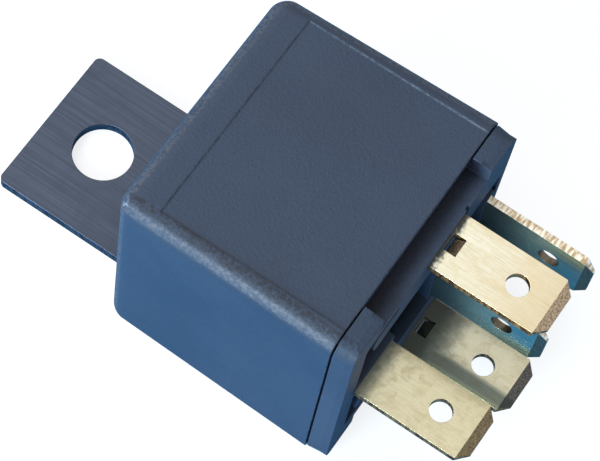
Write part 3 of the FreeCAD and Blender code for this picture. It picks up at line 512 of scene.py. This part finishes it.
flatBrassLook = {
    **plainStrip,
    "faceAxis": (0, 0, 1),
    "dark": (0.68, 0.63, 0.42), "light": (0.75, 0.7, 0.49), "tarnish": (0.56, 0.48, 0.28),
    "worn": (0.48, 0.3, 0.12),
    "tip": (0.76, 0.64, 0.4), "tipShare": 0.25, "tipFrom": 0.016, "tipTo": 0.026, "tipRagged": 0.003,
    "lineColour": (0.3, 0.23, 0.13), "lines": 0.16,
    "coinedDark": (0.09, 0.075, 0.045), "coinedLight": (0.26, 0.2, 0.12),
    "coinedRough": 0.24, "coinedScale": 6500.0,
    "cutDark": (0.12, 0.055, 0.02), "cutLight": (0.46, 0.26, 0.1), "cutRough": 0.3, "scorePitch": 3000.0,
    # painted shade at the root
    "rootShadeRagged": 0.0014, "rootShade": 0.8, "rootShadeColour": (0.06, 0.062, 0.05),
    "rootShadeRough": 0.35, "rootShadeCover": 0.8,
    "along": 900.0, "across": 4200.0, "smearScale": 900.0, "smear": 0.45, "smearRough": 0.18,
    "roughness": 0.16, "roughSpread": 0.07,
    "edgeRadius": 0.00007, "edgeWear": 0.8, "rolledShare": 0.15, "depth": 0.00004, "strength": 0.25,
}
# terminal_85 lies lowest: this darker, greyer copy of flatBrass with darker coined faces and longer root
# shade is painted shade, and its band is a painted shadow of terminal_30
shadedBrassLook = {
    **flatBrassLook,
    "dark": (0.6, 0.58, 0.43), "light": (0.67, 0.65, 0.5),
    "coinedDark": (0.05, 0.05, 0.045), "coinedLight": (0.14, 0.13, 0.12),
    "rootShadeFrom": 0.0155, "rootShadeTo": 0.0192, "rootShade": 0.9, "rootShadeColour": (0.03, 0.032, 0.022),
    "shadowBand": 0.75, "shadowBandReach": 0.0007,
}
# terminal_86, the top blade: this paler copy of flatBrass is a painted highlight, yellower towards the tip
litBrassLook = {
    **flatBrassLook,
    "dark": (0.88, 0.82, 0.6), "light": (0.96, 0.93, 0.76), "tarnish": (0.78, 0.65, 0.4),
    "worn": (0.66, 0.42, 0.16),
    "tip": (0.8, 0.66, 0.42), "tipShare": 0.8, "along": 300.0, "smear": 0.6, "smearScale": 700.0,
    "coinedDark": (0.2, 0.14, 0.09), "coinedLight": (0.5, 0.4, 0.28),
    # painted shade at the root, where the base's rim shades the blade
    "rootShadeFrom": 0.0142, "rootShadeTo": 0.0149, "rootShadeRagged": 0.002,
    "rootShade": 0.95, "rootShadeColour": (0.035, 0.03, 0.025),
}
# terminals 87 and 87a: the darker green-blue colour is a painted reflection of the blue floor, the
# near-white cut edges are painted highlight, and the long root shade is painted shade
uprightBrassLook = {
    **flatBrassLook,
    "faceAxis": (0, 1, 0),
    "dark": (0.35, 0.48, 0.38), "light": (0.42, 0.55, 0.44), "tarnish": (0.28, 0.27, 0.16),
    "worn": (0.8, 0.7, 0.5), "tipShare": 0.0,
    "cutDark": (0.5, 0.36, 0.2), "cutLight": (1.0, 0.94, 0.8), "unshadedCut": 1.0,
    "along": 110.0, "across": 3600.0, "smearScale": 420.0,
    "rootShadeFrom": 0.015, "rootShadeTo": 0.0235, "rootShadeRagged": 0.002,
    "rootShade": 0.92, "rootShadeColour": (0.014, 0.024, 0.026),
    "holeShade": 0.9, "holeShadeColour": (0.1, 0.085, 0.06),
    "roughness": 0.11, "roughSpread": 0.04, "smear": 0.25, "smearRough": 0.1,
}
bronzeLook = {
    **flatBrassLook,
    "faceAxis": (1, 0, 0), "foldAxis": (0, 1, 0),
    "dark": (0.62, 0.42, 0.24), "light": (0.74, 0.53, 0.33), "tarnish": (0.38, 0.22, 0.12), "rootShade": 0.0,
}
bracketLook = {
    **plainStrip,
    "faceAxis": (0, 0, 1), "foldAxis": (1, 0, 0),
    "dark": (0.066, 0.08, 0.112), "light": (0.086, 0.104, 0.145), "tarnish": (0.056, 0.068, 0.095),
    "worn": (0.16, 0.175, 0.21),
    "lineColour": (0.04, 0.048, 0.066), "lines": 0.2,
    "coinedDark": (0.05, 0.06, 0.08), "coinedLight": (0.09, 0.105, 0.14),
    "coinedRough": 0.05, "coinedScale": 5000.0,
    "cutDark": (0.035, 0.042, 0.06), "cutLight": (0.085, 0.1, 0.135),
    "cutRough": 0.12, "scorePitch": 2200.0,
    "along": 60.0, "across": 5200.0, "smearScale": 260.0, "smear": 0.35, "smearRough": 0.15,
    "roughness": 0.36, "roughSpread": 0.12,
    "edgeRadius": 0.00012, "edgeWear": 0.5, "rolledShare": 0.6, "depth": 0.00004, "strength": 0.35,
}
zincLook = {
    **bracketLook,
    "faceAxis": (1, 0, 0), "foldAxis": (0, 1, 0),
    "dark": (0.5, 0.5, 0.5), "light": (0.64, 0.64, 0.62), "tarnish": (0.42, 0.4, 0.35),
    "worn": (0.75, 0.75, 0.74),
    "lineColour": (0.35, 0.34, 0.32), "cutDark": (0.4, 0.4, 0.4), "cutLight": (0.62, 0.62, 0.61),
    "along": 120.0, "across": 1500.0, "smearScale": 300.0, "roughness": 0.34, "roughSpread": 0.1,
    "scorePitch": 2600.0, "rolledShare": 0.4, "depth": 0.00003, "strength": 0.3,
}
silverLook = {
    **zincLook,
    "dark": (0.78, 0.77, 0.74), "light": (0.88, 0.87, 0.84), "tarnish": (0.5, 0.46, 0.38),
    "worn": (0.93, 0.92, 0.9),
    "cutDark": (0.72, 0.71, 0.68), "cutLight": (0.86, 0.85, 0.82), "roughness": 0.2,
}
windingLook = {
    "pitch": 0.00016, "lacquer": (0.5, 0.17, 0.06), "bright": (0.78, 0.36, 0.17),
    "groove": (0.12, 0.035, 0.015),
    "grooveShare": 0.4, "smearScale": 500.0, "smear": 0.6, "smearRough": 0.2, "roughness": 0.28,
    "roundness": 0.6, "depth": 0.00006, "strength": 0.8,
}


def makeWinding(look):
    # enamelled wire wound side by side: ridge height = |sin(pi x / pitch)| to the power of the roundness
    material, tree, shader = newMaterial("enamelledWire")
    shader.inputs["Metallic"].default_value = 1.0
    turns = mathNode(tree, "MULTIPLY", splitVector(tree, objectPlace(tree))["X"], math.pi / look["pitch"])
    ridge = mathNode(tree, "ABSOLUTE", mathNode(tree, "SINE", turns))
    smear = useGroup(tree, handling, Scale=look["smearScale"], Amount=look["smear"])["Smear"]
    wire = blendColour(tree, smear, look["bright"], look["lacquer"])
    # painted shade in the grooves between the turns
    shade = remap(tree, ridge, 0.0, look["grooveShare"])
    join(tree, blendColour(tree, shade, look["groove"], wire), shader.inputs["Base Color"])
    rough = mathNode(tree, "MULTIPLY_ADD", smear, look["smearRough"], look["roughness"])
    join(tree, rough, shader.inputs["Roughness"])
    rounded = mathNode(tree, "POWER", ridge, look["roundness"])
    addBump(tree, shader, rounded, look["depth"], look["strength"])
    return material


finishes = {
    "housingPlastic": makePlastic("housingPlastic", housingLook),
    "basePlastic": makePlastic("basePlastic", baseLook),
    "bobbinNylon": makePlastic("bobbinNylon", bobbinLook),
    "flatBrass": makeStrip("flatBrass", flatBrassLook),
    "litBrass": makeStrip("litBrass", litBrassLook),
    "shadedBrass": makeStrip("shadedBrass", shadedBrassLook),
    "uprightBrass": makeStrip("uprightBrass", uprightBrassLook),
    "springBronze": makeStrip("springBronze", bronzeLook),
    "bracketSteel": makeStrip("bracketSteel", bracketLook),
    "zincIron": makeStrip("zincIron", zincLook),
    "contactSilver": makeStrip("contactSilver", silverLook),
    "enamelledWire": makeWinding(windingLook),
}
nodesOfFinish = {
    "housingPlastic": ["cover"],
    "basePlastic": ["base"],
    "bobbinNylon": ["bobbin"],
    "flatBrass": ["terminal_30"],
    "shadedBrass": ["terminal_85"],
    "litBrass": ["terminal_86"],
    "uprightBrass": ["terminal_87", "terminal_87a"],
    "springBronze": ["contact_spring"],
    "bracketSteel": ["bracket"],
    "zincIron": ["yoke", "core", "armature", "yoke_rivets", "armature_rivets", "terminal_rivet"],
    "contactSilver": ["fixed_contact_no", "fixed_contact_nc", "moving_contact"],
    "enamelledWire": ["coil_winding", "coil_lead_start", "coil_lead_finish"],
}
for finishName, nodeNames in nodesOfFinish.items():        # every carried-over node gets its finish
    for nodeName in nodeNames:
        for materialSlot in frame["nodes"][nodeName].material_slots:
            materialSlot.material = finishes[finishName]
print("materials given to", sum(map(len, nodesOfFinish.values())), "nodes")


def meshPiece(name, points, faces, finish):
    # a piece at the origin, unscaled, so that its points are the frame's own metres
    mesh = bpy.data.meshes.new(name)
    mesh.from_pydata(points.reshape(-1, 3).tolist(), [], faces)
    mesh.update()
    mesh.materials.append(finishes[finish])
    piece = bpy.data.objects.new(name, mesh)
    bpy.context.scene.collection.objects.link(piece)
    return piece


def sweepSection(route, sideways, section):
    # a closed section carried along a route and capped at both ends: point(i, j) = route(i)
    # + u(j) x across(i) + v(j) x sideways, with across(i) square to the route and to sideways
    ahead = np.gradient(route, axis=0)
    ahead /= np.linalg.norm(ahead, axis=1, keepdims=True)
    across = np.cross(ahead, sideways)
    grid = route[:, None] + section[None, :, :1] * across[:, None] + section[None, :, 1:] * sideways
    rows, columns = grid.shape[:2]
    i, j = np.meshgrid(np.arange(rows - 1), np.arange(columns), indexing="ij")
    nextJ = (j + 1) % columns
    here, beyond = i * columns, (i + 1) * columns
    walls = np.stack([here + j, here + nextJ, beyond + nextJ, beyond + j], -1)
    ring = np.arange(columns)
    caps = [ring[::-1].tolist(), (ring + (rows - 1) * columns).tolist()]
    return grid, walls.reshape(-1, 4).tolist() + caps


springSize = {
    "thickness": 0.00029, "width": 0.0053, "corner": 0.00008,
    "armatureBack": 0.00147,        # from the hinge to the armature's back face
    "bend": 0.0007, "legStart": 1.6,        # how deep the bend is, and its run along the yoke in such depths
    "downSteps": 16, "bendSteps": 24, "legSteps": 10,
    "blendBelow": 0.0004, "blendAbove": 0.001,
}


def makeSpringLeaf(size):
    # leaf from the contact, down the armature, round the hinge and along the yoke, as one strip:
    # straight run + quadratic curve (1-t)^2 foot + 2t(1-t) corner + t^2 leg start + straight run
    low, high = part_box("contact_spring")
    joints = frame["record"]["behaviour"]["joints"]
    hinge = Vector(next(joint for joint in joints if joint["name"] == "armature_hinge")["pos_m"])
    half, bend = size["thickness"] / 2, size["bend"]
    leafX = hinge.x - size["armatureBack"] - half
    legY = low.y + half
    top = np.array([low.x + half, high.y, hinge.z])
    foot = np.array([leafX, hinge.y + bend, hinge.z])
    corner = np.array([leafX, legY, hinge.z])
    legStart = np.array([leafX + bend * size["legStart"], legY, hinge.z])
    legEnd = np.array([high.x, legY, hinge.z])
    down, arc, along = (np.linspace(0, 1, size[name])[:, None]
                        for name in ("downSteps", "bendSteps", "legSteps"))
    bow = (1 - arc) ** 2 * foot + 2 * arc * (1 - arc) * corner + arc ** 2 * legStart
    route = np.concatenate([top + (foot - top) * down, bow[1:], legStart + (legEnd - legStart) * along[1:]])
    wide, cut = size["width"] / 2, size["corner"]
    section = np.array([
        (-half, -wide + cut), (-half, wide - cut), (-half + cut, wide), (half - cut, wide),
        (half, wide - cut), (half, -wide + cut), (half - cut, -wide), (-half + cut, -wide)])
    grid, faces = sweepSection(route, np.array([0.0, 0.0, 1.0]), section)
    piece = meshPiece("contactLeaf", grid, faces, "springBronze")
    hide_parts("contact_spring")
    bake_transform(piece)


makeSpringLeaf(springSize)
print("contact leaf made")


floorLook = {
    "half": 3.0, "below": 0.00002,        # half its width, and how far it lies under the object
    "bounce": (0.11, 0.42, 0.76),        # the pale blue that the object is lit by and mirrors
    "shade": (0.35, 0.35, 0.35), "lift": 0.77,        # what the camera sees: white, less the shadow
    "mirrorShare": 0.03,        # how much of that white shows in metal
}
fullShadow = {        # the spot beside the base, under the window of terminal_85
    "from": 0.0125, "to": 0.0156, "middle": 0.0034, "side": 0.002, "fade": 0.0016,
}


def shadowMask(tree, spot):
    # 1 between from and to along X and within side of middle along Y, and 0 past the fade
    parts = splitVector(tree, objectPlace(tree))
    fade = spot["fade"]
    past = remap(tree, parts["X"], spot["from"] - fade, spot["from"])
    before = remap(tree, parts["X"], spot["to"] + fade, spot["to"])
    aside = mathNode(tree, "ABSOLUTE", mathNode(tree, "SUBTRACT", parts["Y"], spot["middle"]))
    beside = remap(tree, aside, spot["side"] + fade, spot["side"])
    return mathNode(tree, "MULTIPLY", mathNode(tree, "MULTIPLY", past, before), beside)


def makeFloor(look):
    # a square just under the object: the camera sees lift x (1 - full shadow) + shade x light,
    # other rays see the bounce colour, and mirrors see a small share of the camera's white
    half, height = look["half"], cadBox[0].z - look["below"]
    corners = [(-half, -half, height), (half, -half, height), (half, half, height), (-half, half, height)]
    mesh = bpy.data.meshes.new("floor")
    mesh.from_pydata(corners, [], [(0, 1, 2, 3)])
    floor = bpy.data.objects.new("floor", mesh)
    bpy.context.scene.collection.objects.link(floor)
    material = bpy.data.materials.new("paleFloor")
    material.use_nodes = True
    tree = material.node_tree
    tree.nodes.clear()
    bounce, shade = (addNode(tree, "ShaderNodeBsdfDiffuse") for _ in range(2))
    setInput(tree, bounce.inputs["Color"], look["bounce"])
    setInput(tree, shade.inputs["Color"], look["shade"])
    lift = addNode(tree, "ShaderNodeEmission")
    lifted = mathNode(tree, "MULTIPLY_ADD", shadowMask(tree, fullShadow), -look["lift"], look["lift"])
    join(tree, lifted, lift.inputs["Strength"])
    white = addNode(tree, "ShaderNodeAddShader")
    join(tree, shade.outputs[0], white.inputs[0])
    join(tree, lift.outputs[0], white.inputs[1])
    path = addNode(tree, "ShaderNodeLightPath")
    shiny = mathNode(tree, "MAXIMUM", path.outputs["Is Glossy Ray"], path.outputs["Is Transmission Ray"])
    mirrored = mathNode(tree, "MULTIPLY", shiny, look["mirrorShare"])
    seen = mathNode(tree, "MAXIMUM", path.outputs["Is Camera Ray"], mirrored)
    mix = addNode(tree, "ShaderNodeMixShader")
    for socket, value in zip(mix.inputs, (seen, bounce.outputs[0], white.outputs[0])):
        join(tree, value, socket)
    join(tree, mix.outputs[0], addNode(tree, "ShaderNodeOutputMaterial").inputs["Surface"])
    mesh.materials.append(material)


worldLook = {
    "ambient": (0.82, 0.9, 1.0), "ambientStrength": 0.5,        # what lights the object
    "seen": (1.0, 1.0, 1.0), "seenStrength": 1.0,        # what the camera and mirrors show
}


def makeWorld(look):
    # an even sky: the seen colour where the ray is the camera's or a mirror's, the ambient one otherwise
    world = bpy.data.worlds.new("studio")
    bpy.context.scene.world = world
    world.use_nodes = True
    tree = world.node_tree
    tree.nodes.clear()
    fill, seen = (addNode(tree, "ShaderNodeBackground") for _ in range(2))
    setInput(tree, fill.inputs["Color"], look["ambient"])
    fill.inputs["Strength"].default_value = look["ambientStrength"]
    setInput(tree, seen.inputs["Color"], look["seen"])
    seen.inputs["Strength"].default_value = look["seenStrength"]
    path = addNode(tree, "ShaderNodeLightPath")
    shiny = mathNode(tree, "MAXIMUM", path.outputs["Is Glossy Ray"], path.outputs["Is Transmission Ray"])
    mix = addNode(tree, "ShaderNodeMixShader")
    shown = mathNode(tree, "MAXIMUM", path.outputs["Is Camera Ray"], shiny)
    for socket, value in zip(mix.inputs, (shown, fill.outputs[0], seen.outputs[0])):
        join(tree, value, socket)
    join(tree, mix.outputs[0], addNode(tree, "ShaderNodeOutputWorld").inputs["Surface"])


lamps = {
    "overheadBox": {"place": (-0.38, -0.05, 0.52), "size": 0.4, "watts": 1.5, "colour": (1.0, 0.99, 0.97)},
    "sideBox": {"place": (-0.08, -0.5, 0.2), "size": 0.3, "watts": 5.2, "colour": (0.6, 0.82, 1.0)},
}


def makeLamps(boxes):
    # square soft boxes, each at its place and turned so that it faces the frame's origin
    for name, look in boxes.items():
        lamp = bpy.data.lights.new(name, "AREA")
        lamp.shape = "SQUARE"
        lamp.size = look["size"]
        lamp.energy = look["watts"]
        lamp.color = look["colour"]
        holder = bpy.data.objects.new(name, lamp)
        place = Vector(look["place"])
        facing = (-place).to_track_quat("-Z", "Y").to_matrix().to_4x4()
        holder.matrix_world = Matrix.Translation(place) @ facing
        bpy.context.scene.collection.objects.link(holder)


makeFloor(floorLook)
makeWorld(worldLook)
makeLamps(lamps)
print("floor, world and lamps made")


cameraLook = {
    "place": (0.039694, -0.096079, 0.24076), "azimuth": 22.059, "elevation": 65.619, "roll": 12.868,
    "lens": 159.33, "sensor": 36.0, "near": 0.01, "far": 20.0,
}


def makeCamera(look):
    # ahead = cos(elevation) x level ahead - sin(elevation) x up, right = the level right, turned by the
    # roll about ahead, and the camera's own up is square to both
    azimuth, elevation, roll = (math.radians(look[name]) for name in ("azimuth", "elevation", "roll"))
    level = Vector((math.cos(azimuth), math.sin(azimuth), 0))
    flatAhead = Vector((-math.sin(azimuth), math.cos(azimuth), 0))
    ahead = math.cos(elevation) * flatAhead - math.sin(elevation) * Vector((0, 0, 1))
    right = math.cos(roll) * level + math.sin(roll) * level.cross(ahead)
    up = right.cross(ahead)
    data = bpy.data.cameras.new("camera")
    data.lens = look["lens"]
    data.sensor_width = look["sensor"]
    data.sensor_fit = "HORIZONTAL"
    data.clip_start = look["near"]
    data.clip_end = look["far"]
    camera = bpy.data.objects.new("camera", data)
    turned = Matrix((right, up, -ahead)).transposed().to_4x4()
    camera.matrix_world = Matrix.Translation(look["place"]) @ turned
    bpy.context.scene.collection.objects.link(camera)
    bpy.context.scene.camera = camera


makeCamera(cameraLook)
bpy.context.scene.view_settings.view_transform = "Standard"
print("camera set")
